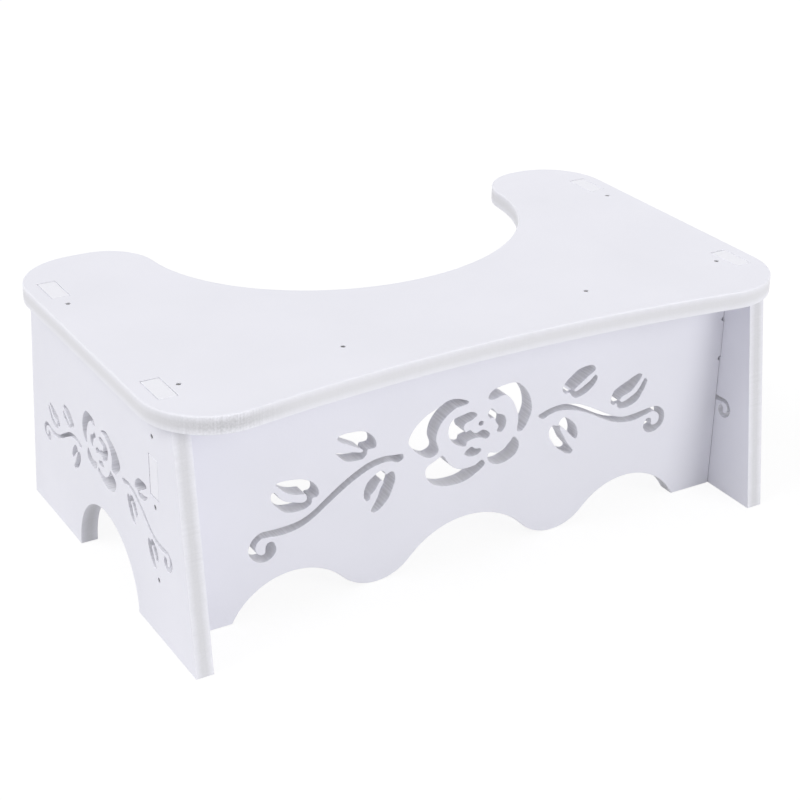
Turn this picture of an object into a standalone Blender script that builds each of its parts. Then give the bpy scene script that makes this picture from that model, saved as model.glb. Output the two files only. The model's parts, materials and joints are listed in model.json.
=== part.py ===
"""A white footstool that stands round the foot of a toilet: four flat boards of foamed plastic, slotted and nailed.

Metres, +Z up. X runs along the stool, the front board faces -Y, and the top's cut-out opens towards +Y.
The origin is on the floor, under the middle of the top board.
"""

import math

import bmesh
import bpy
import numpy as np

MM = 0.001

# Overall sizes and the board that every piece is cut from
stool_length = 460 * MM
stool_depth = 272 * MM
stool_height = 172 * MM
board = 12 * MM
joint_gap = 0.3 * MM
cut_overrun = 2 * MM

# Top board. A horn stands each side of its cut-out, which sits a little off the middle, as on the real one.
top_corner_radius = 45 * MM
top_front_dip = 13.5 * MM
top_arris_radius = 1.2 * MM
horn_width = 89.5 * MM
horn_tip_flat = 8.5 * MM
cutout_depth = 149 * MM
cutout_widest_inset = 28 * MM
cutout_offset = 4.5 * MM

# Side boards, inset from the top board's ends and from its front and rear edges
side_overhang = 10 * MM
side_top_inset = 22 * MM
side_foot_inset = 1 * MM
side_arch_radius = 49 * MM

# Front board's lower edge. The shares place its lobes and end arches between the middle and a foot.
front_foot_width = 33.3 * MM
middle_arch_height = 30.5 * MM
end_arch_height = 26.4 * MM
lobe_share = 0.4
end_arch_share = 0.75

# Tenons, measured to their middles, and the half-round reliefs that a router leaves beside them. Their slots are cut
# a little too long, and the slack lies behind each tenon through the top and behind and below each one through a side.
tenon_width = 27 * MM
tenon_inset = 51.5 * MM
front_tenon_drop = 45.5 * MM
relief_radius = 1.5 * MM
slot_slack = 0.4 * MM

# Nails. Those through the sides stand off the front board's tenon, and the top's rear ones off the side tenons.
nail_length = 24 * MM
nail_diameter = 1.8 * MM
nail_head_diameter = 2.8 * MM
nail_head_thickness = 0.8 * MM
nail_point_length = 3 * MM
nail_sink = 0.6 * MM
end_nail_inset = 6.3 * MM
inner_nail_share = 0.44
rear_nail_gap = 12.5 * MM
high_nail_gap = 14 * MM
middle_nail_gap = 7 * MM
low_nail_height = 43 * MM

# Fields that the fretwork fills. On a side board it reaches a little past the row of tenons and nails.
front_fret_end_margin = 45.8 * MM
front_fret_top_margin = 38.7 * MM
front_fret_foot_margin = 38.6 * MM
side_fret_reach_share = 1.257
side_fret_top_margin = 47.7 * MM
side_fret_foot_margin = 48.8 * MM

# Facets of round stretches
round_step = math.radians(9)
front_bend_step = math.radians(22)
side_bend_step = math.radians(30)
nail_sides = 12
arris_facets = 2

# Outlines of the rose's cuts, in squares from the middle of the rose
left_petal_shares = (
    (-0.2, 2.6), (-0.9, 2.97), (-1.7, 3.07), (-2.45, 2.75), (-3.4, 2.35), (-4.3, 1.6),
    (-4.7, 0.75), (-4.3, 0.12), (-3.85, -0.32), (-3.1, -0.75), (-2.5, -0.55), (-2.45, -0.2),
    (-2.63, 0.35), (-2.5, 1.15), (-1.95, 1.9), (-1.05, 2.4), (-0.35, 2.47),
)
right_petal_shares = (
    (1.32, 2.55), (1.45, 2.35), (1.95, 2.35), (2.55, 2.47), (3.1, 2.1), (3.5, 1.4),
    (3.76, 0.45), (3.7, -0.2), (3.75, -0.5), (4.1, -0.52), (4.5, 0), (4.78, 0.8),
    (4.65, 1.75), (4.2, 2.55), (3.55, 3.12), (2.8, 3.2), (2, 3.1), (1.6, 2.95),
)
lower_petal_shares = (
    (1, -1.95), (0.45, -2.2), (-0.2, -2.27), (-0.9, -2.15), (-1.45, -1.75), (-1.85, -1.2),
    (-2.1, -0.85), (-2.6, -1.08), (-3.3, -1.45), (-3.35, -2), (-2.95, -2.65), (-2.2, -3.08),
    (-1.2, -3.24), (-0.1, -3.12), (0.75, -2.7), (1.2, -2.3),
)
small_petal_shares = (
    (3.15, -1.15), (2.8, -1.45), (2.2, -1.72), (1.55, -1.58), (1.42, -1.95), (1.75, -2.4),
    (2.35, -2.6), (3, -2.5), (3.65, -2.15), (3.88, -1.6), (3.75, -1.15), (3.45, -0.86),
)
heart_shares = (
    (0.47, 1.5), (0.3, 1.72), (-0.15, 1.83), (-0.8, 1.72), (-1.4, 1.53), (-1.68, 0.95), (-1.6, 0.35),
    (-1.3, -0.12), (-0.75, -0.5), (-0.35, -0.58), (-0.2, -0.27), (0.75, -0.22), (1.3, -0.44),
    (1.53, -0.15), (1, 0.28), (0.4, 0.17), (-0.05, 0.5), (-0.35, 0.42), (-0.55, 0.8), (-0.4, 1.08),
    (0.1, 1.22),
)
heart_side_shares = (
    (1.6, 1.68), (1.35, 1.35), (1.5, 1.02), (1.85, 0.95), (2, 0.6), (2.2, 0.25), (2.08, -0.08),
    (2.35, -0.22), (2.62, -0.05), (2.78, 0.4), (2.6, 0.95), (2, 1.25), (1.85, 1.45),
)
seed_shares = (
    (-0.42, -1.13), (-0.3, -1.3), (0.1, -1.47), (0.65, -1.42), (0.88, -1.22), (0.8, -1.03),
    (0.42, -0.98), (0.15, -0.77), (-0.15, -0.88),
)
dot_place_share = (0.82, 0.79)
dot_radius_share = 0.18

# Outlines of the leaves. Each leaf is one cut of two lobes that meet at the stalk, and its midrib is left standing.
right_upper_leaf_shares = (
    (9.9, 2.65), (9.7, 2.97), (9.2, 3.05), (8.3, 2.86), (7.6, 2.32), (7.25, 1.75), (7.5, 1.37),
    (7.85, 1.36), (8.03, 1.1), (8.3, 0.88), (9.1, 1), (9.8, 1.45), (10.1, 1.95), (9.95, 2.22),
    (9.5, 1.88), (8.8, 1.48), (8.3, 1.35), (8.22, 1.5), (8.6, 1.75), (9.3, 2.25),
)
right_outer_leaf_shares = (
    (13.92, 1.3), (13.65, 1.46), (13.2, 1.33), (12.4, 1), (11.7, 0.7), (11.45, 0.3), (11.4, -0.3),
    (11.65, -0.45), (11.88, -0.4), (12, -0.72), (12.3, -0.88), (13, -0.85), (13.65, -0.58),
    (14.05, 0), (14.4, 0.75), (14.2, 0.98), (14, 0.72), (13.6, 0.15), (12.9, -0.25),
    (12.35, -0.42), (12.12, -0.2), (12.4, 0.05), (12.95, 0.2), (13.4, 0.58),
)
right_lower_leaf_shares = (
    (8.38, -3.18), (8.15, -3.32), (7.65, -3.1), (6.95, -2.5), (6.45, -1.75), (6.35, -1.1),
    (6.6, -0.82), (7.03, -0.9), (7.2, -0.6), (7.45, -0.4), (7.95, -0.65), (8.5, -1.25),
    (8.7, -1.9), (8.6, -2.25), (8.37, -2.15), (8, -1.72), (7.5, -1.2), (7.2, -1.08),
    (7.2, -1.25), (7.5, -1.75), (7.8, -2.35), (8.25, -2.92),
)
left_upper_leaf_shares = (
    (-9.9, 2.3), (-9.75, 2.5), (-8.9, 2.54), (-8, 2.4), (-7.4, 1.95), (-7.1, 1.4), (-7.15, 1.08),
    (-7.4, 1.02), (-7.72, 1.02), (-7.82, 0.7), (-8.05, 0.48), (-8.7, 0.47), (-9.3, 0.6),
    (-9.7, 0.95), (-10, 1.33), (-9.4, 1.18), (-8.8, 1.12), (-8.2, 0.95), (-8.03, 1.03),
    (-8.3, 1.28), (-8.95, 1.65), (-9.5, 1.95),
)
left_outer_leaf_shares = (
    (-14.25, 0.2), (-14.1, 0.31), (-13.3, 0.3), (-12.3, 0.1), (-11.7, -0.25), (-11.3, -0.8),
    (-11.25, -1.2), (-11.4, -1.38), (-11.7, -1.4), (-11.77, -1.7), (-12.1, -1.97), (-12.8, -2.05),
    (-13.6, -1.9), (-14.2, -1.35), (-14.55, -0.85), (-14.55, -0.35), (-14.35, -0.3), (-14, -0.8),
    (-13.6, -1.12), (-12.9, -1.38), (-12.35, -1.53), (-12.1, -1.4), (-12.15, -1), (-12.6, -0.9),
    (-13.1, -0.75), (-13.7, -0.38), (-14.05, 0),
)
left_lower_leaf_shares = (
    (-7.7, -2.7), (-7.53, -2.55), (-7.5, -2.35), (-7.1, -1.97), (-6.9, -1.6), (-6.68, -1.45),
    (-6.52, -1.62), (-6.75, -2), (-6.95, -2.6), (-7.3, -3.2), (-7.45, -3.5), (-7.2, -3.68),
    (-6.7, -3.45), (-6.2, -2.95), (-5.85, -2.2), (-5.68, -1.6), (-5.78, -1.1), (-6, -1),
    (-6.35, -1.12), (-6.5, -0.88), (-6.75, -0.74), (-7.1, -0.9), (-7.7, -1.35), (-7.97, -2),
    (-7.9, -2.55),
)

# Middle lines of the vines, from the rose to the curl, with half the slot's width at each point
right_vine_shares = (
    (5.4, 0.23, 0.07), (5.75, 0.15, 0.24), (6.2, 0.3, 0.22), (7, 0.42, 0.21), (7.8, 0.32, 0.23),
    (8.6, 0.1, 0.23), (9.4, -0.27, 0.22), (10.2, -0.71, 0.21), (11, -1.18, 0.21),
    (11.8, -1.58, 0.2), (12.6, -1.8, 0.21), (13.4, -1.83, 0.25), (14.2, -1.72, 0.22),
    (14.9, -1.6, 0.18), (15.45, -1.68, 0.2), (15.85, -2.05, 0.22), (15.93, -2.5, 0.23),
    (15.75, -2.9, 0.23), (15.3, -3.12, 0.25), (14.9, -3.05, 0.32), (14.7, -2.75, 0.34),
    (14.75, -2.5, 0.28),
)
left_vine_shares = (
    (-5.1, -0.07, 0.14), (-5.45, -0.17, 0.28), (-5.85, -0.07, 0.22), (-6.4, 0.02, 0.21),
    (-7, -0.03, 0.23), (-7.6, -0.16, 0.24), (-8.4, -0.5, 0.24), (-9.2, -0.93, 0.23),
    (-10, -1.44, 0.23), (-10.8, -2, 0.22), (-11.6, -2.55, 0.22), (-12.4, -2.94, 0.24),
    (-13.2, -3.12, 0.26), (-14, -3.17, 0.27), (-14.8, -3.12, 0.22), (-15.35, -3.12, 0.22),
    (-15.8, -3.45, 0.22), (-15.98, -3.92, 0.24), (-15.85, -4.4, 0.24), (-15.35, -4.77, 0.26),
    (-14.85, -4.65, 0.33), (-14.67, -4.3, 0.38), (-14.7, -4.05, 0.33),
)

# How far the side boards' fretwork moves each cut from its place on the front board, in squares
rear_sprig_move_share = (0, -1.83)
rear_lower_leaf_move_share = (-0.45, -1.83)
front_sprig_move_share = (0, -0.15)
side_upper_leaf_move_share = (-1.1, -0.72)
side_lower_leaf_move_share = (-0.45, -0.25)
side_low_leaf_move_share = (-5.02, -2.75)

# Places that follow from the sizes
half_length = stool_length / 2
half_depth = stool_depth / 2
top_underside = stool_height - board
shoulder_height = top_underside - joint_gap
side_outer_face = half_length - side_overhang
side_middle = side_outer_face - board / 2
side_inner_face = side_outer_face - board
front_shoulder = side_inner_face - joint_gap
tenon_row = half_depth - tenon_inset
front_tenon_height = top_underside - front_tenon_drop
slot_length = tenon_width + 2 * joint_gap + slot_slack
slot_width = board + 2 * joint_gap


def arc(centre, radius, start, end, step=round_step):
    """Points along a circular arc, both ends included, in equal steps no longer than step."""
    count = max(1, math.ceil(abs(end - start) / step - 1e-6))
    angles = np.linspace(start, end, count + 1)
    return [(centre[0] + radius * math.cos(a), centre[1] + radius * math.sin(a)) for a in angles]


def mirrored(points):
    """The same points on the other side of the middle, in the order that carries an outline on."""
    return [(-u, v) for u, v in reversed(points)]


def box_outline(centre, width, height):
    """The corners of an upright rectangle."""
    u, v = centre
    return [
        (u - width / 2, v - height / 2), (u + width / 2, v - height / 2),
        (u + width / 2, v + height / 2), (u - width / 2, v + height / 2),
    ]


def smooth_line(points, bend_step, closed):
    """A curve through the points: a centripetal Catmull-Rom spline, with more chords where it bends more."""
    points = np.array(points, float)
    count = len(points)
    if closed:
        runs = [[(i + k) % count for k in (-1, 0, 1, 2)] for i in range(count)]
    else:
        runs = [[max(i - 1, 0), i, i + 1, min(i + 2, count - 1)] for i in range(count - 1)]
    result = []
    for run in runs:
        a, b, c, d = points[run]
        # An open line's end has no neighbour, so the line is carried straight on there.
        a = 2 * b - c if np.array_equal(a, b) else a
        d = 2 * c - b if np.array_equal(c, d) else d
        chords = np.array([b - a, c - b, d - c])[:, :2]
        headings = np.arctan2(chords[:, 1], chords[:, 0])
        turns = np.abs((np.diff(headings) + math.pi) % (2 * math.pi) - math.pi)
        steps = max(1, math.ceil(turns.mean() / bend_step))
        knots = np.cumsum([0, *np.linalg.norm([b - a, c - b, d - c], axis=1) ** 0.5])
        for t in np.linspace(knots[1], knots[2], steps, endpoint=False):
            first = [a + (b - a) * (t - knots[0]) / (knots[1] - knots[0]),
                     b + (c - b) * (t - knots[1]) / (knots[2] - knots[1]),
                     c + (d - c) * (t - knots[2]) / (knots[3] - knots[2])]
            second = [first[0] + (first[1] - first[0]) * (t - knots[0]) / (knots[2] - knots[0]),
                      first[1] + (first[2] - first[1]) * (t - knots[1]) / (knots[3] - knots[1])]
            result.append(second[0] + (second[1] - second[0]) * (t - knots[1]) / (knots[2] - knots[1]))
    if not closed:
        result.append(points[-1])
    return np.array(result)


def slot_outline(middle_line, bend_step):
    """The outline of a slot of changing width: its middle line set off to both sides, with a round far end."""
    line = smooth_line(middle_line, bend_step, closed=False)
    places, halves = line[:, :2], line[:, 2:]
    along = np.gradient(places, axis=0)
    along /= np.linalg.norm(along, axis=1)[:, None]
    across = np.stack([-along[:, 1], along[:, 0]], axis=1) * halves
    heading = math.atan2(*along[-1][::-1])
    end = arc(places[-1], halves[-1, 0], heading - math.pi / 2, heading + math.pi / 2, bend_step)
    return np.array([*(places - across)[:-1], *end, *(places + across)[:-1][::-1]])


def rose_cuts(bend_step):
    """The rose's cuts, in squares."""
    outlines = [
        left_petal_shares, right_petal_shares, lower_petal_shares, small_petal_shares,
        heart_shares, heart_side_shares, seed_shares,
    ]
    dot = np.array(arc(dot_place_share, dot_radius_share, 0, 2 * math.pi, bend_step)[:-1])
    return [smooth_line(outline, bend_step, closed=True) for outline in outlines] + [dot]


def filling(cuts, low, high):
    """Cuts in squares, enlarged until they fill the field between its low corner and its high corner."""
    drawn = np.concatenate(cuts)
    drawn_low, drawn_high = drawn.min(axis=0), drawn.max(axis=0)
    enlargement = (np.array(high) - low) / (drawn_high - drawn_low)
    return [(cut - drawn_low) * enlargement + low for cut in cuts]


def front_fretwork():
    """The cuts of the front board: the rose with a sprig each side of it."""
    leaves = [
        right_upper_leaf_shares, right_outer_leaf_shares, right_lower_leaf_shares,
        left_upper_leaf_shares, left_outer_leaf_shares, left_lower_leaf_shares,
    ]
    cuts = rose_cuts(front_bend_step)
    cuts += [smooth_line(leaf, front_bend_step, closed=True) for leaf in leaves]
    cuts += [slot_outline(vine, front_bend_step) for vine in (right_vine_shares, left_vine_shares)]
    reach = front_shoulder - front_fret_end_margin
    return filling(cuts, (-reach, front_fret_foot_margin), (reach, shoulder_height - front_fret_top_margin))


def side_fretwork():
    """The cuts of a side board: the same rose and sprigs, enlarged less, with a low leaf in place of an outer one."""
    leaves = [
        (right_upper_leaf_shares, rear_sprig_move_share),
        (right_outer_leaf_shares, rear_sprig_move_share),
        (right_lower_leaf_shares, rear_lower_leaf_move_share),
        (left_upper_leaf_shares, side_upper_leaf_move_share),
        (left_lower_leaf_shares, side_lower_leaf_move_share),
        (left_lower_leaf_shares, side_low_leaf_move_share),
    ]
    vines = [(right_vine_shares, rear_sprig_move_share), (left_vine_shares, front_sprig_move_share)]
    cuts = rose_cuts(side_bend_step)
    cuts += [smooth_line(leaf, side_bend_step, closed=True) + move for leaf, move in leaves]
    cuts += [slot_outline(vine, side_bend_step) + move for vine, move in vines]
    reach = side_fret_reach_share * tenon_row
    return filling(cuts, (-reach, side_fret_foot_margin), (reach, shoulder_height - side_fret_top_margin))


def joined_radii(distance, rise):
    """The radii, added, of an arch this tall and of a round lobe on the floor this far beside it that it runs into."""
    return (distance**2 / rise + rise) / 2


def top_outline():
    """The top board from above: a dished front edge, round corners, and horns with the cut-out between them."""
    corner = (half_length - top_corner_radius, half_depth - top_corner_radius)
    slack = top_corner_radius - top_front_dip
    dish = (corner[0] ** 2 + slack**2 - top_corner_radius**2) / (2 * top_front_dip)
    dish_centre = (0, top_front_dip - half_depth - dish)
    dish_end = math.atan2(-corner[1] - dish_centre[1], corner[0])
    outer = arc(dish_centre, dish, math.pi / 2, dish_end, (math.pi / 2 - dish_end) / 8)
    outer += arc((corner[0], -corner[1]), top_corner_radius, dish_end - math.pi, 0)[1:]
    outer += arc(corner, top_corner_radius, 0, math.pi / 2)
    # The cut-out is half an ellipse. A circle that touches it and the rear edge rounds each horn's inner corner.
    across, along = half_length - horn_width, cutout_depth - cutout_widest_inset
    rounding = horn_width - top_corner_radius - horn_tip_flat
    ellipse_y = half_depth - cutout_widest_inset
    turn = np.linspace(-math.pi / 2, math.pi / 3, 2000)
    outward = np.stack([np.cos(turn) / across, np.sin(turn) / along])
    outward /= np.linalg.norm(outward, axis=0)
    circle_y = ellipse_y + along * np.sin(turn) + rounding * outward[1]
    touch = np.interp(half_depth - rounding, circle_y, turn)
    facing = math.atan2(math.sin(touch) / along, math.cos(touch) / across)
    horn_centre = (across * math.cos(touch) + rounding * math.cos(facing), half_depth - rounding)
    inner = arc(horn_centre, rounding, math.pi / 2, facing + math.pi)
    steps = math.ceil((touch + math.pi / 2) / (round_step / 2))
    angles = np.linspace(touch, -math.pi / 2, steps + 1)[1:]
    inner += [(across * math.cos(a), ellipse_y + along * math.sin(a)) for a in angles]
    cutout = [(u + cutout_offset, v) for u, v in inner + mirrored(inner[:-1])]
    return outer + cutout + mirrored(outer[1:])


def tenon(shoulder, place, reach):
    """A tenon that stands out sideways past a shoulder line, with a half-round relief above and below it."""
    low, high = place - tenon_width / 2, place + tenon_width / 2
    relief_step = 2 * round_step
    return [
        *arc((shoulder, low - relief_radius), relief_radius, -math.pi / 2, -3 * math.pi / 2, relief_step),
        (reach, low), (reach, high),
        *arc((shoulder, high + relief_radius), relief_radius, -math.pi / 2, -3 * math.pi / 2, relief_step),
    ]


def front_outline():
    """The front board from in front: a chain of arches and lobes along the floor, and a tenon at each end."""
    foot = front_shoulder - front_foot_width
    lobe, end_arch = lobe_share * foot, end_arch_share * foot
    end_radius = joined_radii(foot - end_arch, end_arch_height)
    lobe_radius = joined_radii(end_arch - lobe, end_arch_height) - end_radius
    middle_radius = joined_radii(lobe, middle_arch_height) - lobe_radius
    middle_y = middle_arch_height - middle_radius
    end_y = end_arch_height - end_radius
    rise = math.atan2(lobe_radius - middle_y, lobe)
    fall = math.atan2(end_y - lobe_radius, end_arch - lobe)
    half = arc((0, middle_y), middle_radius, math.pi / 2, rise)
    half += arc((lobe, lobe_radius), lobe_radius, rise - math.pi, fall)[1:]
    half += arc((end_arch, end_y), end_radius, fall + math.pi, math.asin(-end_y / end_radius))[1:]
    half += [(front_shoulder, 0)]
    half += tenon(front_shoulder, front_tenon_height, side_outer_face)
    half += [(front_shoulder, shoulder_height)]
    return half + mirrored(half[1:])


def side_outline():
    """A side board from its side: it spreads towards the floor, with an arch between its feet and two tenons on top."""
    tenons = [(v, u) for u, v in tenon(shoulder_height, tenon_row, stool_height)]
    half = arc((0, 0), side_arch_radius, math.pi / 2, 0)
    half += [(half_depth - side_foot_inset, 0), (half_depth - side_top_inset, shoulder_height)]
    half += tenons[::-1]
    return half + mirrored(half[1:])


def flat_board(name, outline, holes, axes):
    """A board: the outline filled round its holes, in the plane of two axes, and raised to the board's thickness. With no
    holes its faces are whole, so that an easing can keep its full radius."""
    through = 3 - sum(axes)
    bm = bmesh.new()
    for loop in [outline, *holes]:
        corners = []
        for u, v in loop:
            place = [-board / 2] * 3
            place[axes[0]], place[axes[1]] = u, v
            corners.append(bm.verts.new(place))
        for first, second in zip(corners, corners[1:] + corners[:1]):
            bm.edges.new((first, second))
    if holes:
        bmesh.ops.triangle_fill(bm, use_beauty=True, edges=bm.edges[:])
    else:
        bm.faces.new(corners)
    raised = bmesh.ops.extrude_face_region(bm, geom=bm.faces[:])["geom"]
    raised = [item for item in raised if isinstance(item, bmesh.types.BMVert)]
    bmesh.ops.translate(bm, vec=np.eye(3)[through] * board, verts=raised)
    bmesh.ops.recalc_face_normals(bm, faces=bm.faces[:])
    mesh = bpy.data.meshes.new(name)
    bm.to_mesh(mesh)
    bm.free()
    mesh.shade_smooth()
    mesh.set_sharp_from_angle(angle=math.radians(40))
    thing = bpy.data.objects.new(name, mesh)
    bpy.context.scene.collection.objects.link(thing)
    return thing


def paint(thing, color, roughness, metallic):
    """Gives an object a material of its own."""
    material = bpy.data.materials.new(thing.name + "_material")
    material.use_nodes = True
    shader = material.node_tree.nodes["Principled BSDF"]
    shader.inputs["Base Color"].default_value = (*color, 1)
    shader.inputs["Roughness"].default_value = roughness
    shader.inputs["Metallic"].default_value = metallic
    thing.data.materials.append(material)


def board_finish(thing):
    """Foamed plastic board with a satin white skin."""
    paint(thing, (0.86, 0.87, 0.9), 0.42, 0)


def cut_from(thing, name, cutters):
    """Cuts a group of hidden cutters out of an object."""
    group = bpy.data.collections.new(name)
    for cutter in cutters:
        group.objects.link(cutter)
    cut = thing.modifiers.new(name, "BOOLEAN")
    cut.operation = "DIFFERENCE"
    cut.operand_type = "COLLECTION"
    cut.collection = group
    cut.solver = "EXACT"


def as_cutter(thing):
    """Hides an object from the render and shows it as wire, because it only cuts others."""
    thing.hide_render = True
    thing.display_type = "WIRE"
    return thing


def turned_mesh(name, profile):
    """A solid of revolution about Z. The profile runs from the top of the axis to the bottom, as radius and height."""
    mesh = bpy.data.meshes.new(name)
    bm = bmesh.new()
    angles = np.arange(nail_sides) * 2 * math.pi / nail_sides
    top = bm.verts.new((0, 0, profile[0][1]))
    bottom = bm.verts.new((0, 0, profile[-1][1]))
    rings = [[bm.verts.new((r * math.cos(a), r * math.sin(a), z)) for a in angles] for r, z in profile[1:-1]]
    for i in range(nail_sides):
        j = (i + 1) % nail_sides
        bm.faces.new((top, rings[0][i], rings[0][j]))
        for upper, lower in zip(rings, rings[1:]):
            bm.faces.new((upper[i], lower[i], lower[j], upper[j]))
        bm.faces.new((rings[-1][j], rings[-1][i], bottom))
    bm.to_mesh(mesh)
    bm.free()
    mesh.shade_smooth()
    mesh.set_sharp_from_angle(angle=math.radians(40))
    return mesh


def nail_profile(grown):
    """A nail's profile from its head's middle to its point, grown by a clearance for the bore that it sits in."""
    head = nail_head_diameter / 2 + grown
    shank = nail_diameter / 2 + grown
    top = nail_sink + cut_overrun if grown else 0
    return [
        (0, top), (head, top), (head, -nail_head_thickness - grown),
        (shank, -nail_head_thickness - grown - (head - shank)),
        (shank, nail_point_length - nail_length - grown), (0, -nail_length - grown),
    ]


def nail_places():
    """Each nail's name, the place of its head's middle and the turn about Y that points it into the board."""
    top = stool_height - nail_sink
    end = front_shoulder - end_nail_inset
    inner = inner_nail_share * front_shoulder
    places = {}
    for number, x in enumerate((-end, -inner, inner, end), 1):
        places[f"top_front_nail_{number}"] = ((x, -tenon_row, top), 0)
    rear_y = tenon_row - tenon_width / 2 - rear_nail_gap
    heights = {
        "low": low_nail_height,
        "middle": front_tenon_height - tenon_width / 2 - middle_nail_gap,
        "high": front_tenon_height + tenon_width / 2 + high_nail_gap,
    }
    for side, sign in (("left", -1), ("right", 1)):
        places[f"top_{side}_nail"] = ((sign * side_middle, rear_y, top), 0)
        for level, height in heights.items():
            place = (sign * (side_outer_face - nail_sink), -tenon_row, height)
            places[f"{side}_nail_{level}"] = (place, sign * math.pi / 2)
    return places


def make_nails():
    """Makes the nails, and returns the bores that they need in the boards, by the nails' names."""
    nail_mesh = turned_mesh("nail", nail_profile(0))
    bore_mesh = turned_mesh("nail_bore", nail_profile(joint_gap))
    bores = {}
    for name, (place, turn) in nail_places().items():
        nail = bpy.data.objects.new(name, nail_mesh.copy())
        bpy.context.scene.collection.objects.link(nail)
        paint(nail, (0.5, 0.5, 0.52), 0.35, 1)
        bore = as_cutter(bpy.data.objects.new(name + "_bore", bore_mesh))
        for thing in (nail, bore):
            thing.location = place
            thing.rotation_euler = (0, turn, 0)
        bores[name] = bore
    return bores


def make_slot_cutters():
    """The four slots in the top board, one round each side board's tenon."""
    cutters = []
    for x in (-side_middle, side_middle):
        for y in (-tenon_row, tenon_row):
            mesh = bpy.data.meshes.new("slot")
            bm = bmesh.new()
            bmesh.ops.create_cube(bm, size=1)
            bmesh.ops.scale(bm, vec=(slot_width, slot_length, board + 2 * cut_overrun), verts=bm.verts)
            bm.to_mesh(mesh)
            bm.free()
            cutter = as_cutter(bpy.data.objects.new("slot", mesh))
            cutter.location = (x, y + slot_slack / 2, stool_height - board / 2)
            cutters.append(cutter)
    return cutters


def make_top(bores):
    """The top board: eased along its outline, with the cut-out for the toilet's foot, four slots and six bores."""
    top = flat_board("top_board", top_outline(), [], (0, 1))
    top.location.z = stool_height - board / 2
    easing = top.modifiers.new("easing", "BEVEL")
    easing.width = top_arris_radius
    easing.segments = arris_facets
    easing.limit_method = "ANGLE"
    easing.angle_limit = math.radians(60)
    cut_from(top, "top_slots", make_slot_cutters())
    cut_from(top, "top_bores", [bore for name, bore in bores.items() if name.startswith("top")])
    board_finish(top)


def make_sides(bores):
    """The two side boards, each with the slot that the front board's tenon passes through."""
    middle = (slot_slack / 2 - tenon_row, front_tenon_height - slot_slack / 2)
    slot = box_outline(middle, slot_width + slot_slack, slot_length)
    for side, sign in (("left", -1), ("right", 1)):
        panel = flat_board(f"{side}_side_board", side_outline(), [slot, *side_fretwork()], (1, 2))
        panel.location.x = sign * side_middle
        cut_from(panel, f"{side}_bores", [bore for name, bore in bores.items() if side in name])
        board_finish(panel)


def make_front(bores):
    """The front board, cut out with the rose and its sprigs."""
    panel = flat_board("front_board", front_outline(), front_fretwork(), (0, 2))
    panel.location.y = -tenon_row
    into_front = [bore for name, bore in bores.items() if name not in ("top_left_nail", "top_right_nail")]
    cut_from(panel, "front_bores", into_front)
    board_finish(panel)


for leftover in list(bpy.data.objects):
    bpy.data.objects.remove(leftover, do_unlink=True)

bores = make_nails()
make_top(bores)
make_sides(bores)
make_front(bores)
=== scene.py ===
# %% [markdown]
# # A footstool that stands round the foot of a toilet
#
# The stool is four flat boards of white foamed plastic. A router cut each one out, with a rose and its sprigs pierced
# through the front and both sides. The boards are slotted into each other and pinned with small steel nails.
#
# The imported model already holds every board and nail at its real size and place. This script only gives them their
# looks: eased edges, the satin skin, the foam that shows where the router went through, a floor, light and a camera.
# It keeps the model's box at the start and compares with it at the end, because looks must not change a size.

import json
import math

import bmesh
import bpy
import numpy as np
from mathutils import Matrix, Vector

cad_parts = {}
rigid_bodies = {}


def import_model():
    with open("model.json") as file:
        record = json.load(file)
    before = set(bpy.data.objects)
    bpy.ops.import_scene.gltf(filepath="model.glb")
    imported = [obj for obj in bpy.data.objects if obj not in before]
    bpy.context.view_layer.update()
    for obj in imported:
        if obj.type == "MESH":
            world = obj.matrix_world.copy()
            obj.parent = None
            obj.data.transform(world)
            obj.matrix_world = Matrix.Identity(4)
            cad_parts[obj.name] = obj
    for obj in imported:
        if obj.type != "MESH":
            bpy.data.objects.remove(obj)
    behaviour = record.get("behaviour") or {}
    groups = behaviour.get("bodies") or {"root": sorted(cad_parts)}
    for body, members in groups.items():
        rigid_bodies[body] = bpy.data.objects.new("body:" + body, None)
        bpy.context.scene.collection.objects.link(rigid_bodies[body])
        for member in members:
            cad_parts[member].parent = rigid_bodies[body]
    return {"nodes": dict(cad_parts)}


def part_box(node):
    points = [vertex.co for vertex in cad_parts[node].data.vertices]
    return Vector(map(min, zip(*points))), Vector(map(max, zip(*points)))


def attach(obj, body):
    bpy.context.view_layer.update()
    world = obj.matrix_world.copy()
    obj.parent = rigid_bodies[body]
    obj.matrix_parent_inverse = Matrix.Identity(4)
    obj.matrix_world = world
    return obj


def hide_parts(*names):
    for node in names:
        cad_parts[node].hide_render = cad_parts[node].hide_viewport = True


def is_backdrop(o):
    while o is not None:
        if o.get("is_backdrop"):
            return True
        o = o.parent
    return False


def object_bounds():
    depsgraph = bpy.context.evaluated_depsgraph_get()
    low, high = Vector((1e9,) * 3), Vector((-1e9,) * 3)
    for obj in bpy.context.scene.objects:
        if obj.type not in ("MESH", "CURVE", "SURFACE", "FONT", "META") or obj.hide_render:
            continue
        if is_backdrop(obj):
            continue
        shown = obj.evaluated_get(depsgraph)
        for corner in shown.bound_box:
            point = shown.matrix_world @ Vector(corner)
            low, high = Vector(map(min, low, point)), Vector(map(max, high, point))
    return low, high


MM = 0.001

for leftover in list(bpy.data.objects):
    bpy.data.objects.remove(leftover, do_unlink=True)
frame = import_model()
solid_low, solid_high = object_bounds()
boards = [name for name in frame["nodes"] if name.endswith("board")]
nails = [name for name in frame["nodes"] if name not in boards]
print(f"{len(boards)} boards and {len(nails)} nails, {(solid_high - solid_low) * 1000} mm over all")

# %% [markdown]
# ## The camera
#
# A photograph can be matched by eye, or by finding the place from which known corners of the object fall where the
# picture has them. The second is surer, because the board's thickness is known. A camera also has a small roll here:
# it was not held quite level. Its three axes are worked out from the heading, the height angle and the roll.

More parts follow.
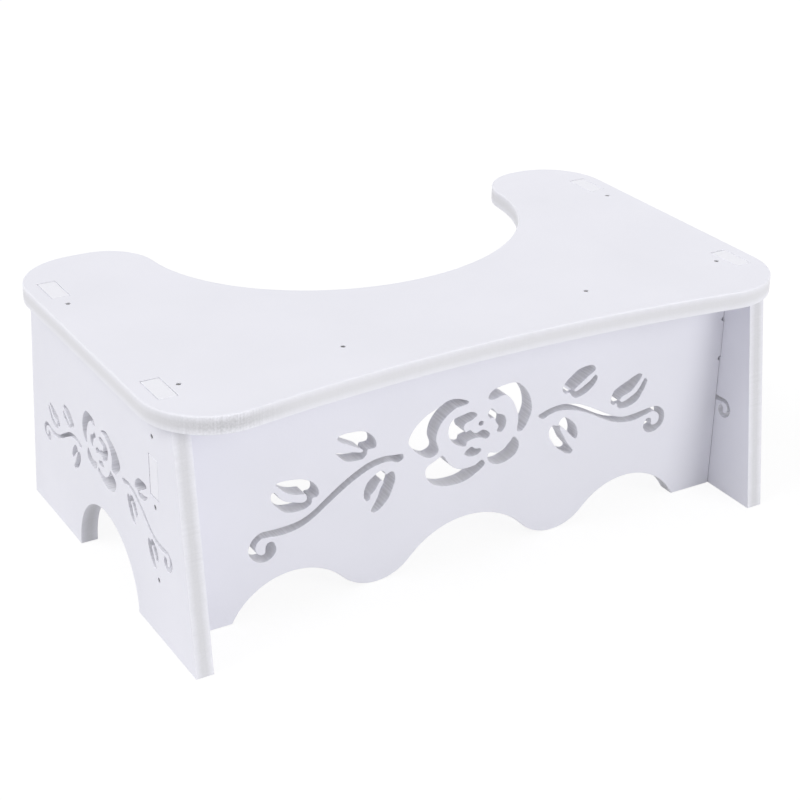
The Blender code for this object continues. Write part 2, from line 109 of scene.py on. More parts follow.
# %% The camera
heading, height_angle, roll = (math.radians(angle) for angle in (-30.93251, 26.18104, 0.87136))
backward = np.array([
    math.sin(heading) * math.cos(height_angle), -math.cos(heading) * math.cos(height_angle), math.sin(height_angle),
])
level = np.array([math.cos(heading), math.sin(heading), 0])
upright = np.cross(backward, level)
camera_data = bpy.data.cameras.new("camera")
camera_data.lens = 82.627
camera_data.sensor_width = 36
camera = bpy.data.objects.new("camera", camera_data)
camera.matrix_world = Matrix((
    (*(math.cos(roll) * level + math.sin(roll) * upright),),
    (*(math.cos(roll) * upright - math.sin(roll) * level),),
    (*backward,),
)).transposed().to_4x4()
camera.location = (-0.587594, -0.981375, 0.639516)
bpy.context.scene.collection.objects.link(camera)
bpy.context.scene.camera = camera
print(f"the camera stands {camera.location.length:.2f} m from the stool")

# %% [markdown]
# ## From a solid to its outlines
#
# A routed board is a drawing with a thickness, so its shape is all in its outlines. They could be typed in again, but
# the solid has them: where its flat face ends, an edge belongs to one triangle of that face only. Following those
# edges head to tail gives one closed line for the board and one for each hole, with the board always on the left.

# %% The outlines of a flat face
plane_axes = {0: (1, 2), 1: (2, 0), 2: (0, 1)}
face_tolerance = 0.01 * MM


def outlines_of(node, through):
    """The closed outlines of a solid's upper face across one axis. Each edge of the face's triangles is written with
    its direction, and the ones whose opposite is missing are the rim, which is followed from point to point."""
    mesh = frame["nodes"][node].data
    mesh.calc_loop_triangles()
    places = np.empty(len(mesh.vertices) * 3, np.float32)
    mesh.vertices.foreach_get("co", places)
    corners = np.empty(len(mesh.loop_triangles) * 3, np.int32)
    mesh.loop_triangles.foreach_get("vertices", corners)
    places, same = np.unique(places.reshape(-1, 3).astype(float).round(6), axis=0, return_inverse=True)
    triangles = same.reshape(-1)[corners].reshape(-1, 3)
    upper = places[:, through].max()
    triangles = triangles[(places[triangles][:, :, through] > upper - face_tolerance).all(axis=1)]
    sides = np.concatenate([triangles[:, [0, 1]], triangles[:, [1, 2]], triangles[:, [2, 0]]])
    known = {(int(a), int(b)) for a, b in sides}
    following = {a: b for a, b in known if (b, a) not in known}
    outlines = []
    while following:
        start = min(following)
        ring, point = [start], following.pop(start)
        while point != start:
            ring.append(point)
            point = following.pop(point)
        outlines.append(places[ring][:, plane_axes[through]])
    return outlines


through_axes = {"top_board": 2, "left_side_board": 0, "right_side_board": 0, "front_board": 1}
for name in boards:
    found = outlines_of(name, through_axes[name])
    print(f"{name}: {len(found)} outlines of {sum(map(len, found))} points")

# %% [markdown]
# ## Smooth lines through coarse points
#
# A solid keeps few points on a curve, so close up its curves show flats. A router moves in true curves. Each short
# straight can be swapped for a cubic that leaves and arrives in the curve's own direction, which is how a draughtsman
# fairs a line through points. Real corners stay, but no cutter leaves them knife-sharp, so each gets a tiny radius.

# %% A faired line
corner_turn = math.radians(58)
long_chord_share = 2.5
fine_chord = 2.5 * MM
fine_turn = math.radians(7)
corner_room_share = 0.4
corner_steps = 4


def unit(vectors):
    """Each vector divided by its own length."""
    return vectors / np.maximum(np.linalg.norm(vectors, axis=-1, keepdims=True), 1e-12)


def angle_between(first, second):
    """The signed turn from one direction to the next: the arc tangent of their cross over their dot product."""
    cross = first[:, 0] * second[:, 1] - first[:, 1] * second[:, 0]
    return np.arctan2(cross, (first * second).sum(axis=1))


def mirrored_in(chord, tangent):
    """A tangent mirrored in its chord, which carries on a round arc: twice its part along the chord, less itself."""
    return 2 * (chord * tangent).sum(axis=1)[:, None] * chord - tangent


def faired(points, corner_radius):
    """Places and directions along a smooth closed line through the points. Each chord becomes a cubic Hermite curve
    between the directions at its two ends. The direction at a point is that of the circle through it and its two
    neighbours, or of the longer chord where that is far longer, as where a straight runs into an arc. At a corner the
    curve stops short, and an arc of the corner's radius joins its two sides."""
    chords = np.roll(points, -1, axis=0) - points
    lengths = np.linalg.norm(chords, axis=1)
    along = chords / lengths[:, None]
    before, length_before = np.roll(along, 1, axis=0), np.roll(lengths, 1)
    turns = angle_between(before, along)
    corner = np.abs(turns) > corner_turn
    direction = unit(before * lengths[:, None] + along * length_before[:, None])
    direction = np.where((length_before > long_chord_share * lengths)[:, None], before, direction)
    direction = np.where((lengths > long_chord_share * length_before)[:, None], along, direction)
    ahead, corner_ahead = np.roll(direction, -1, axis=0), np.roll(corner, -1)
    leaving = np.where(corner[:, None], mirrored_in(along, ahead), direction)
    arriving = np.where(corner_ahead[:, None], mirrored_in(along, direction), ahead)
    both = (corner & corner_ahead)[:, None]
    leaving, arriving = np.where(both, along, leaving), np.where(both, along, arriving)

    # A corner's true turn is between its two sides, and its radius shrinks where a side is short.
    came = np.roll(arriving, 1, axis=0)
    turns = np.where(corner, angle_between(came, leaving), 0)
    half_turn = np.tan(np.abs(turns) / 2)
    room = corner_room_share * np.minimum(lengths, length_before)
    radii = np.where(corner, np.minimum(corner_radius, room / np.maximum(half_turn, 1e-9)), 0)
    trims = radii * half_turn
    bends = np.abs(angle_between(leaving, arriving))
    counts = np.maximum(np.ceil(lengths / fine_chord), np.ceil(bends / fine_turn)).astype(int)
    repeats = counts + corner_ahead
    chord = np.repeat(np.arange(len(points)), repeats)
    step = np.arange(len(chord)) - np.repeat(np.cumsum(repeats) - repeats, repeats)
    first, last = trims / lengths, 1 - np.roll(trims, -1) / lengths
    t = (first[chord] + (last - first)[chord] * step / counts[chord])[:, None]
    pull = (lengths / np.cos(bends / 4) ** 2)[chord][:, None]
    start, end = points[chord], np.roll(points, -1, axis=0)[chord]
    out, into = leaving[chord] * pull, arriving[chord] * pull
    places = (2 * t**3 - 3 * t**2 + 1) * start + (t**3 - 2 * t**2 + t) * out
    places += (3 * t**2 - 2 * t**3) * end + (t**3 - t**2) * into
    slopes = (6 * t**2 - 6 * t) * (start - end) + (3 * t**2 - 4 * t + 1) * out + (3 * t**2 - 2 * t) * into
    order = chord + t[:, 0]

    # Round each corner, an arc: its start, plus its radius times the sine along the way in and one less cosine across.
    at = np.flatnonzero(corner)
    swing = np.arange(1, corner_steps)[None] / corner_steps * turns[at][:, None]
    inward = came[at] @ np.array([[0, 1], [-1, 0]])
    ahead_share = np.sin(np.abs(swing))[..., None]
    side_share = np.sign(swing)[..., None] * (1 - np.cos(swing))[..., None]
    begin = (points[at] - trims[at][:, None] * came[at])[:, None]
    arcs = begin + radii[at][:, None, None] * (ahead_share * came[at][:, None] + side_share * inward[:, None])
    arc_slopes = np.cos(swing)[..., None] * came[at][:, None] + np.sin(swing)[..., None] * inward[:, None]
    arc_order = at[:, None] + (np.arange(corner_steps - 1) - 1) * 1e-9
    rank = np.argsort(np.concatenate([order, arc_order.reshape(-1)]))
    places = np.concatenate([places, arcs.reshape(-1, 2)])[rank]
    return places, unit(np.concatenate([slopes, arc_slopes.reshape(-1, 2)])[rank])


sample = max(outlines_of("front_board", 1), key=len)
places, directions = faired(sample, corner_radius=0.5 * MM)
turned = np.abs(angle_between(directions, np.roll(directions, -1, axis=0)))
print(f"front board's outline: {len(sample)} points became {len(places)}")
print(f"the line turns by {np.degrees(turned.max()):.1f} degrees at most between two of them")

# %% [markdown]
# ## How much board there is behind an edge
#
# An eased edge eats a little way into the board. The fretwork leaves bridges and leaf ribs that are only a millimetre
# or two across, and there a full-width easing would cut one edge through the next. The largest circle that touches
# the edge at a point and fits inside the board is the honest limit, so the easing narrows to a share of its radius.

# %% Room for the easing
easing_room_share = 0.7
places_at_once = 400
least_depth = 1e-7


def room_behind(places, outward):
    """The radius of the largest circle inside the board that touches its edge at each place. The circle through two
    places that touches the edge at the first has the square of their distance over twice the part of it that points
    into the board, and the smallest of these circles is the one that fits."""
    limits = []
    for rows in np.array_split(np.arange(len(places)), max(1, len(places) // places_at_once)):
        apart = places[None] - places[rows][:, None]
        depth = -(apart * outward[rows][:, None]).sum(axis=2)
        reach = (apart**2).sum(axis=2)
        circles = np.where(depth > least_depth, reach / (2 * np.maximum(depth, least_depth)), np.inf)
        limits.append(circles.min(axis=1))
    return np.concatenate(limits)


def evened(values):
    """A closed row of values without sudden steps: each takes the least of its near neighbours, then their mean."""
    near = np.stack([np.roll(values, shift) for shift in range(-2, 3)])
    low = near.min(axis=0)
    return np.stack([np.roll(low, shift) for shift in range(-2, 3)]).mean(axis=0)


# %% [markdown]
# ## A board's edge, carried along its outlines
#
# An edge is one profile swept round every outline: from the upper face round a quarter circle, down the wall, and
# round another quarter to the lower face. A Bevel modifier would do the same from the coarse solid, but it can't know
# how far the edge has come, and the router's marks need that. So each edge is a grid: along the outline one way and
# down the profile the other. The two faces are filled between the outlines' first and last rows.

# %% The edge profile
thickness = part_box("front_board")[1].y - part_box("front_board")[0].y


def eased_profile(easing_depth, facets, lower_share=1.0):
    """Rows from the upper to the lower face: how far in, as a share of the easing's width, the height, and how far the
    surface looks out and up. Through each quarter turn these are one less sine, one less cosine, sine and cosine. The
    lower quarter turn is this share of the upper one's size."""
    turn = np.linspace(0, math.pi / 2, facets + 1)
    inset, drop = 1 - np.sin(turn), easing_depth * (1 - np.cos(turn))
    return (
        np.concatenate([inset, lower_share * inset[::-1]]),
        np.concatenate([thickness / 2 - drop, lower_share * drop[::-1] - thickness / 2]),
        np.concatenate([np.sin(turn), np.sin(turn)[::-1]]), np.concatenate([np.cos(turn), -np.cos(turn)[::-1]]),
    )


def swept_edge(places, directions, width, profile, already_in=0.0):
    """A grid of points and normals: the outline's places, moved inwards by each row's share of the easing's width, at
    each row's height. already_in is how far inside the board's true edge the outline was taken."""
    outward = np.stack([directions[:, 1], -directions[:, 0]], axis=1)
    inset, height, out, up = (values[:, None, None] for values in profile)
    flat = places + outward * (already_in - inset * width[:, None])
    rows = len(profile[0])
    grid = np.concatenate([flat, np.broadcast_to(height, (rows, len(places), 1))], axis=2)
    normals = np.concatenate([out * outward, np.broadcast_to(up, (rows, len(places), 1))], axis=2)
    return grid, normals


rows = eased_profile(easing_depth=0.4 * MM, facets=3)
print(f"a {thickness * 1000:.1f} mm edge has {len(rows[0])} rows, at heights of", (rows[1] * 1000).round(2), "mm")

# %% [markdown]
# ## Bores for the nails
#
# The nails were shot in slightly below the surface, so each head sits at the bottom of a short round hole. The hole
# is wider round the head than round the shank. A drill would be cut with a Boolean, but the board is built from its
# outlines anyway, so a bore is one more outline whose profile steps in.

# %% A bore round a nail
bore_gap = 0.3 * MM
bore_easing = 0.1 * MM
bore_points = 28


def bore_edge(centre, head_radius, shank_radius, head_depth, easing, head_up):
    """A grid of points and normals for a round hole, clockwise so that the board is on its left. Its radius at each
    row is the head's, then the shank's, with a small easing at both faces."""
    angle = -np.arange(bore_points) * 2 * math.pi / bore_points
    outward = -np.stack([np.cos(angle), np.sin(angle)], axis=1)
    half = thickness / 2
    radius = np.array([
        head_radius + easing, head_radius, head_radius, shank_radius, shank_radius, shank_radius + easing,
    ])
    height = np.array([
        half, half - easing, half - head_depth, half - head_depth - head_radius + shank_radius, easing - half, -half,
    ])
    out, up = np.array([0, 1, 1, 1, 1, 0]), np.array([1, 0, 0, 0, 0, -1])
    if not head_up:
        radius, height = radius[::-1], -height[::-1]
    flat = np.array(centre) - outward * radius[:, None, None]
    shape = (len(radius), bore_points, 1)
    grid = np.concatenate([flat, np.broadcast_to(height[:, None, None], shape)], axis=2)
    normals = np.concatenate([out[:, None, None] * outward, np.broadcast_to(up[:, None, None], shape)], axis=2)
    return grid, normals


# %% [markdown]
# ## A whole board
#
# The edges and the two faces become one closed mesh. Four values go with every point, for the material to read: how
# much of a cut edge it is, how far through the board it lies, how hard the cutter chattered there, and how dull the
# core is. A UV map holds the way along the edge and the height. A flat face must look flat and an edge round, so each
# point is also given the normal that its formula says. The tenons' ends were sanded flush and look like fresh skin.

# %% Faces between outlines
def filled(outlines):
    """Triangles that cover the board between its outlines, turned so that they look up."""
    bm = bmesh.new()
    for ring in outlines:
        corners = [bm.verts.new((u, v, 0)) for u, v in ring]
        for first, second in zip(corners, corners[1:] + corners[:1]):
            bm.edges.new((first, second))
    bm.verts.index_update()
    bmesh.ops.triangle_fill(bm, use_beauty=True, edges=bm.edges[:])
    triangles = np.array([[corner.index for corner in face.verts] for face in bm.faces])
    bm.free()
    flat = np.concatenate(outlines)[triangles]
    first, second = flat[:, 1] - flat[:, 0], flat[:, 2] - flat[:, 0]
    down = first[:, 0] * second[:, 1] - first[:, 1] * second[:, 0] < 0
    triangles[down] = triangles[down][:, ::-1]
    return triangles


# %% The mesh of a board
tenon_axes = {"left_side_board": 2, "right_side_board": 2, "front_board": 0}
sanded_depth = 0.5 * MM


def build_board(name, node, through, edges):
    """One closed mesh out of grids of points and normals, each with the chatter and the dullness of its columns. Quads
    join each grid's rows and close round its columns, and the fill of the first rows, turned over, also fills the last
    rows."""
    points, normals, quads, runs, cut, depth, wear, first_rows, last_rows = ([] for _ in range(9))
    base = 0
    for grid, grid_normals, marks in edges:
        rows, columns = grid.shape[:2]
        index = base + np.arange(rows * columns).reshape(rows, columns)
        ahead = np.roll(index, -1, axis=1)
        quads.append(np.stack([index[:-1], index[1:], ahead[1:], ahead[:-1]], axis=2).reshape(-1, 4))
        steps = np.linalg.norm(np.roll(grid[1, :, :2], -1, axis=0) - grid[1, :, :2], axis=1)
        run = np.concatenate([[0], np.cumsum(steps)])
        start, end = np.broadcast_to(run[:-1], (rows - 1, columns)), np.broadcast_to(run[1:], (rows - 1, columns))
        top, low = grid[:-1, :, 2], grid[1:, :, 2]
        runs.append(np.stack([start, top, start, low, end, low, end, top], axis=2).reshape(-1, 2))
        points.append(grid.reshape(-1, 3))
        normals.append(grid_normals.reshape(-1, 3))
        cut.append(np.repeat(np.linalg.norm(grid_normals[:, :1, :2], axis=2), columns, axis=1).reshape(-1))
        depth.append((grid[:, :, 2] / thickness + 0.5).reshape(-1))
        wear.append(np.tile(marks, (1, rows)))
        first_rows.append(index[0])
        last_rows.append(index[-1])
        base += rows * columns
    points, normals, quads = (np.concatenate(part) for part in (points, normals, quads))
    fill = filled([points[row][:, :2] for row in first_rows])
    upper, lower = np.concatenate(first_rows)[fill], np.concatenate(last_rows)[fill][:, ::-1]
    runs += [points[upper].reshape(-1, 3)[:, :2], points[lower].reshape(-1, 3)[:, :2]]

    mesh = bpy.data.meshes.new(name)
    order = [*plane_axes[through], through]
    placed, turned = np.empty_like(points), np.empty_like(normals)
    placed[:, order], turned[:, order] = points, normals
    low, high = (np.array(corner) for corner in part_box(node))
    placed[:, through] += (low + high)[through] / 2
    placed = np.clip(placed, low, high)
    cut, depth, (chatter, dulled) = np.concatenate(cut), np.concatenate(depth), np.concatenate(wear, axis=1)
    if node in tenon_axes:
        axis = tenon_axes[node]
        sanded = (high - low)[axis] / 2 - np.abs(placed[:, axis] - (low + high)[axis] / 2) < sanded_depth
        depth, chatter = np.where(sanded, 1, depth), np.where(sanded, 0, chatter)
    mesh.from_pydata(placed, [], [*quads.tolist(), *upper.tolist(), *lower.tolist()])
    uv = mesh.uv_layers.new(name="edge_run")
    uv.data.foreach_set("uv", np.concatenate(runs).astype(np.float32).reshape(-1))
    for label, values in (("cut_edge", cut), ("depth", depth), ("chatter", chatter), ("dulled", dulled)):
        mesh.attributes.new(label, "FLOAT", "POINT").data.foreach_set("value", values.astype(np.float32))
    mesh.shade_smooth()
    mesh.normals_split_custom_set_from_vertices(unit(turned).astype(np.float32))
    board = bpy.data.objects.new(name, mesh)
    bpy.context.scene.collection.objects.link(board)
    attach(board, "root")
    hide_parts(node)
    print(f"{name}: {len(mesh.vertices)} points, {len(quads) * 2 + len(fill) * 2} triangles")
    return board


# %% [markdown]
# ## The four boards
#
# The top was run round with a rounding cutter, so its upper edge has a broad easing. Every other edge was only
# broken with a pass of fine paper. The top's slots stay nearly sharp, since they had to fit the tenons. A cutter
# chatters most in tight curves, so the pierced rose and sprigs get the strongest marks, but nobody touches them and
# their core stays pale. The outer edges are handled and duller, and the top's rim has one rough, grey stretch, just
# round its front left corner.

# %% Which edge goes where
top_easing = 1.2 * MM
rim_lower_share = 0.35
board_easing = 0.4 * MM
slot_easing = 0.2 * MM
rim_facets, board_facets = 6, 3
corner_radius = 0.5 * MM
widest_bore, bore_sides = 4 * MM, 12
nail_head_radius, nail_shank_radius, nail_head_depth = 1.4 * MM, 0.9 * MM, 1.7 * MM
pierced_chatter, outline_chatter, rim_chatter = 1.8, 0.35, 0.12
pierced_dull, outline_dull, rim_dull = 0.0, 0.55, 0.25
rough_middle = np.array(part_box("top_board")[0])[:2] + np.array([36, 8]) * MM
rough_reach = 32 * MM


def signed_area(ring):
    """The area inside an outline, above nought where it runs anticlockwise: half the sum of the cross products."""
    ahead = np.roll(ring, -1, axis=0)
    return (ring[:, 0] * ahead[:, 1] - ring[:, 1] * ahead[:, 0]).sum() / 2


def is_bore(ring):
    """A round hole of a nail's size is left to bore_edge."""
    return np.ptp(ring, axis=0).max() < widest_bore and len(ring) == bore_sides


def is_slot(ring):
    """A slot is a plain rectangle, whose corners are its only points."""
    return len(ring) == 4


def dressed_board(node, through, nail_names, head_up):
    """A board of eased edges and bored holes, out of the outlines of its solid. The top's rim is already eased in the
    solid, so the outline of its upper face lies further in than the rim does, by what is missing from its length."""
    lines = [ring for ring in outlines_of(node, through) if not is_bore(ring)]
    curves = [faired(ring, slot_easing if is_slot(ring) else corner_radius) for ring in lines]
    places = np.concatenate([curve[0] for curve in curves])
    outward = np.concatenate([curve[1] for curve in curves]) @ np.array([[0, -1], [1, 0]])
    room = np.split(room_behind(places, outward), np.cumsum([len(curve[0]) for curve in curves])[:-1])
    true_length = (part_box(node)[1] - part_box(node)[0])[plane_axes[through][0]]
    edges = []
    for ring, curve, space in zip(lines, curves, room):
        rim = node == "top_board" and signed_area(ring) > 0
        easing = top_easing if rim else slot_easing if is_slot(ring) else board_easing
        width = np.full(len(space), easing) if rim else evened(np.minimum(easing, easing_room_share * space))
        marks = (pierced_chatter, pierced_dull) if signed_area(ring) < 0 else (outline_chatter, outline_dull)
        marks = np.repeat(np.array(marks)[:, None], len(space), axis=1)
        if rim:
            rough = np.exp(-((np.linalg.norm(curve[0] - rough_middle, axis=1) / rough_reach) ** 2))
            marks = np.stack([rim_chatter + rough, rim_dull + (1 - rim_dull) * rough])
        profile = eased_profile(easing, rim_facets, rim_lower_share) if rim else eased_profile(easing, board_facets)
        already_in = (true_length - np.ptp(ring[:, 0])) / 2 if rim else 0.0
        edges.append((*swept_edge(*curve, width, profile, already_in), marks))
    for nail in nail_names:
        low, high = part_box(nail)
        centre = [(low[axis] + high[axis]) / 2 for axis in plane_axes[through]]
        radii = nail_head_radius + bore_gap, nail_shank_radius + bore_gap
        bore = bore_edge(centre, *radii, nail_head_depth, bore_easing, head_up)
        edges.append((*bore, np.zeros((2, bore_points))))
    return build_board("eased_" + node, node, through, edges)


# %% The boards
dressed = [
    dressed_board("top_board", 2, [nail for nail in nails if nail.startswith("top")], True),
    dressed_board("left_side_board", 0, [nail for nail in nails if nail.startswith("left")], False),
    dressed_board("right_side_board", 0, [nail for nail in nails if nail.startswith("right")], True),
    dressed_board("front_board", 1, [], True),
]

# %% [markdown]
# ## Building materials
#
# A finish is a small recipe of nodes. A helper adds one node and fills its sockets, either with a value or with
# another node's output. A recipe that several materials share becomes a node group with named inputs and outputs.

# %% Helpers for nodes
def put(tree, kind, inputs, **settings):
    """Adds a node to a tree. Each input is a value, or an output of another node that is linked to it."""
    node = tree.nodes.new(kind)
    for name, value in settings.items():
        setattr(node, name, value)
    for name, value in inputs.items():
        if isinstance(value, bpy.types.NodeSocket):
            tree.links.new(value, node.inputs[name])
        else:
            node.inputs[name].default_value = value
    return node


def spread(tree, value, low, high, to_low, to_high):
    """A value from one range carried onto another, and held inside it."""
    inputs = {"Value": value, "From Min": low, "From Max": high, "To Min": to_low, "To Max": to_high}
    return put(tree, "ShaderNodeMapRange", inputs).outputs["Result"]


def sums(tree, operation, first, second):
    """One step of arithmetic on two values."""
    return put(tree, "ShaderNodeMath", {0: first, 1: second}, operation=operation).outputs[0]


def blend_colors(tree, share, first, second):
    """The first colour where the share is 0, the second where it is 1."""
    inputs = {"Factor": share, 6: first, 7: second}
    return put(tree, "ShaderNodeMix", inputs, data_type="RGBA").outputs[2]


def recipe(name, inputs, outputs):
    """An empty node group with named sockets, and its input and output nodes."""
    group = bpy.data.node_groups.new(name, "ShaderNodeTree")
    for label, kind, value in inputs:
        group.interface.new_socket(label, in_out="INPUT", socket_type=kind).default_value = value
    for label, kind in outputs:
        group.interface.new_socket(label, in_out="OUTPUT", socket_type=kind)
    return group, group.nodes.new("NodeGroupInput").outputs, group.nodes.new("NodeGroupOutput").inputs


# %% [markdown]
# ## The satin skin
#
# Foamed plastic board is pressed with a closed skin. Seen from afar it is plain white with a hint of blue. Close up it
# has a very fine dimple like orange peel, its gloss comes and goes a little where it was handled, and its white is
# not quite even. All three are noise of different sizes, read from the place in space, so that they run on over an
# easing without a seam.

# %% The skin recipe
skin, given, result = recipe(
    "satin_skin",
    [
        ("Position", "NodeSocketVector", (0, 0, 0)), ("Pale", "NodeSocketColor", (0.87, 0.88, 0.93, 1)),
        ("Deep", "NodeSocketColor", (0.84, 0.85, 0.9, 1)), ("Gloss patches", "NodeSocketFloat", 1),
    ],
    [("Color", "NodeSocketColor"), ("Roughness", "NodeSocketFloat"), ("Height", "NodeSocketFloat")],
)
clouds = put(skin, "ShaderNodeTexNoise", {"Vector": given["Position"], "Scale": 11, "Detail": 3})
dimples = put(skin, "ShaderNodeTexNoise", {"Vector": given["Position"], "Scale": 650, "Detail": 2})
handling = put(
    skin, "ShaderNodeTexNoise",
    {"Vector": given["Position"], "Scale": 38, "Detail": 5, "Roughness": 0.65, "Distortion": 0.6},
)
share = spread(skin, clouds.outputs[0], 0.35, 0.65, 0.0, 1.0)
skin.links.new(blend_colors(skin, share, given["Pale"], given["Deep"]), result["Color"])
patches = spread(skin, handling.outputs[0], 0.35, 0.7, -0.05, 0.07)
patches = sums(skin, "MULTIPLY", patches, given["Gloss patches"])
skin.links.new(sums(skin, "ADD", patches, 0.42), result["Roughness"])
skin.links.new(sums(skin, "MULTIPLY", dimples.outputs[0], 0.35), result["Height"])
print("satin_skin:", [socket.name for socket in skin.interface.items_tree])

# %% [markdown]
# ## The routed edge
#
# Where the router went through, the board shows its core: a greyer, duller foam between two bright skins. The
# spinning cutter leaves fine upright ripples, stronger on some stretches than on others. The foam's open cells show as
# specks, and where the core is dullest it is also pitted. The ripples follow the way along the edge, from the UV map,
# and not the place in space, because they stand square to the cut wherever it turns.

# %% The edge recipe
speck_shade = (0.6, 0.6, 0.63, 1)
edge, given, result = recipe(
    "routed_edge",
    [
        ("Position", "NodeSocketVector", (0, 0, 0)), ("Run", "NodeSocketVector", (0, 0, 0)),
        ("Depth", "NodeSocketFloat", 0.5), ("Skin", "NodeSocketColor", (0.87, 0.87, 0.93, 1)),
        ("Core", "NodeSocketColor", (0.84, 0.84, 0.87, 1)), ("Dull core", "NodeSocketColor", (0.66, 0.66, 0.69, 1)),
        ("Dulled", "NodeSocketFloat", 0.5), ("Ripples", "NodeSocketFloat", 1),
    ],
    [("Color", "NodeSocketColor"), ("Roughness", "NodeSocketFloat"), ("Height", "NodeSocketFloat")],
)
from_middle = sums(edge, "ABSOLUTE", sums(edge, "SUBTRACT", given["Depth"], 0.5), 0.0)
waver = put(edge, "ShaderNodeTexNoise", {"Vector": given["Position"], "Scale": 160, "Detail": 3})
from_middle = sums(edge, "ADD", from_middle, spread(edge, waver.outputs[0], 0.3, 0.7, -0.03, 0.03))
skin_share = spread(edge, from_middle, 0.12, 0.47, 0.0, 1.0)
cells = put(edge, "ShaderNodeTexVoronoi", {"Vector": given["Position"], "Scale": 1500})
open_cells = spread(edge, cells.outputs["Distance"], 0.1, 0.45, 0.0, 1.0)
stretched = put(edge, "ShaderNodeVectorMath", {0: given["Run"], 1: (1, 0.03, 0)}, operation="MULTIPLY")
ripples = put(edge, "ShaderNodeTexNoise", {"Vector": stretched.outputs[0], "Scale": 520, "Detail": 3})
stretches = put(edge, "ShaderNodeTexNoise", {"Vector": given["Run"], "Scale": 22, "Detail": 1})
strength = spread(edge, stretches.outputs[0], 0.4, 0.62, 0.25, 1.0)
strength = sums(edge, "MULTIPLY", strength, given["Ripples"])
rippled = sums(edge, "MULTIPLY", sums(edge, "SUBTRACT", ripples.outputs[0], 0.5), strength)
pits = put(edge, "ShaderNodeTexNoise", {"Vector": given["Position"], "Scale": 800, "Detail": 2})
pit_strength = sums(edge, "POWER", given["Dulled"], 3.0)
pitted = sums(edge, "MULTIPLY", sums(edge, "SUBTRACT", pits.outputs[0], 0.5), pit_strength)
rippled = sums(edge, "ADD", rippled, pitted)
core = blend_colors(edge, given["Dulled"], given["Core"], given["Dull core"])
specks = spread(edge, cells.outputs["Distance"], 0.1, 0.5, 0.12, 0.0)
speckled = blend_colors(edge, specks, core, speck_shade)
layered = blend_colors(edge, skin_share, speckled, given["Skin"])
tone = spread(edge, rippled, -0.4, 0.4, 0.82, 1.18)
edge.links.new(put(edge, "ShaderNodeHueSaturation", {"Color": layered, "Value": tone}).outputs[0], result["Color"])
edge.links.new(spread(edge, skin_share, 0.0, 1.0, 0.62, 0.5), result["Roughness"])
edge.links.new(sums(edge, "ADD", sums(edge, "MULTIPLY", open_cells, 0.15), rippled), result["Height"])
print("routed_edge:", [socket.name for socket in edge.interface.items_tree])

# %% [markdown]
# ## A board's material
#
# The skin and the edge are mixed by how much of a cut edge each point is, so the skin fades into the cut round the
# easing, as it does where paper has rubbed it. The two heights feed one Bump node.

# %% The board material
skin_white = (0.858, 0.857, 0.926, 1)
skin_deep = (0.838, 0.838, 0.905, 1)
fresh_white = (0.89, 0.89, 0.945, 1)
core_white = (0.84, 0.838, 0.872, 1)
core_dull = (0.66, 0.66, 0.69, 1)

plastic = bpy.data.materials.new("foamed_plastic")
plastic.use_nodes = True
tree = plastic.node_tree
shader = tree.nodes["Principled BSDF"]
where = tree.nodes.new("ShaderNodeTexCoord").outputs["Object"]
run = put(tree, "ShaderNodeUVMap", {}, uv_map="edge_run").outputs[0]
cut, through_board, chatter, dulled = (
    put(tree, "ShaderNodeAttribute", {}, attribute_name=label).outputs["Fac"]
    for label in ("cut_edge", "depth", "chatter", "dulled")
)
finish = {"Position": where, "Pale": skin_white, "Deep": skin_deep, "Gloss patches": 1}
face = put(tree, "ShaderNodeGroup", finish, node_tree=skin)
finish = {"Position": where, "Run": run, "Depth": through_board, "Ripples": chatter, "Dulled": dulled}
finish.update({"Skin": fresh_white, "Core": core_white, "Dull core": core_dull})
rim = put(tree, "ShaderNodeGroup", finish, node_tree=edge)
tree.links.new(blend_colors(tree, cut, face.outputs["Color"], rim.outputs["Color"]), shader.inputs["Base Color"])
roughness, height = (
    put(tree, "ShaderNodeMix", {"Factor": cut, 2: face.outputs[label], 3: rim.outputs[label]}).outputs[0]
    for label in ("Roughness", "Height")
)
tree.links.new(roughness, shader.inputs["Roughness"])
bump = put(tree, "ShaderNodeBump", {"Height": height, "Distance": 0.12 * MM})
tree.links.new(bump.outputs[0], shader.inputs["Normal"])
for board in dressed:
    board.data.materials.append(plastic)
print(f"{len(dressed)} boards have {plastic.name}, of {len(tree.nodes)} nodes")

# %% [markdown]
# ## The nails
#
# Small brads of plain steel, a little below the surface. Only their heads show, as dark dots. The steel is dull and
# slightly blotched, with brighter and darker patches of wear that noise in two sizes gives. Its colour is also painted
# far darker than bare steel, as painted shade for the bore that each head sits in.

# %% The nail material
# Both steel colours are far darker than bare steel: painted shade for the bore round each head, over real patches of
# wear.
steel_dark_painted_shade = (0.12, 0.12, 0.125, 1)
steel_worn_painted_shade = (0.3, 0.295, 0.29, 1)

steel = bpy.data.materials.new("dull_steel_painted_shade")
steel.use_nodes = True
tree = steel.node_tree
shader = tree.nodes["Principled BSDF"]
shader.inputs["Metallic"].default_value = 1
where = tree.nodes.new("ShaderNodeTexCoord").outputs["Object"]
blotches = put(tree, "ShaderNodeTexNoise", {"Vector": where, "Scale": 900, "Detail": 4})
grain = put(tree, "ShaderNodeTexNoise", {"Vector": where, "Scale": 6000, "Detail": 2})
worn = spread(tree, blotches.outputs[0], 0.35, 0.65, 0.0, 1.0)
color = blend_colors(tree, worn, steel_dark_painted_shade, steel_worn_painted_shade)
tree.links.new(color, shader.inputs["Base Color"])
tree.links.new(spread(tree, blotches.outputs[0], 0.3, 0.7, 0.65, 0.42), shader.inputs["Roughness"])
bump = put(tree, "ShaderNodeBump", {"Height": grain.outputs[0], "Distance": 0.02 * MM})
tree.links.new(bump.outputs[0], shader.inputs["Normal"])
for nail in nails:
    frame["nodes"][nail].data.materials.clear()
    frame["nodes"][nail].data.materials.append(steel)
print(f"{len(nails)} nails have {steel.name}")

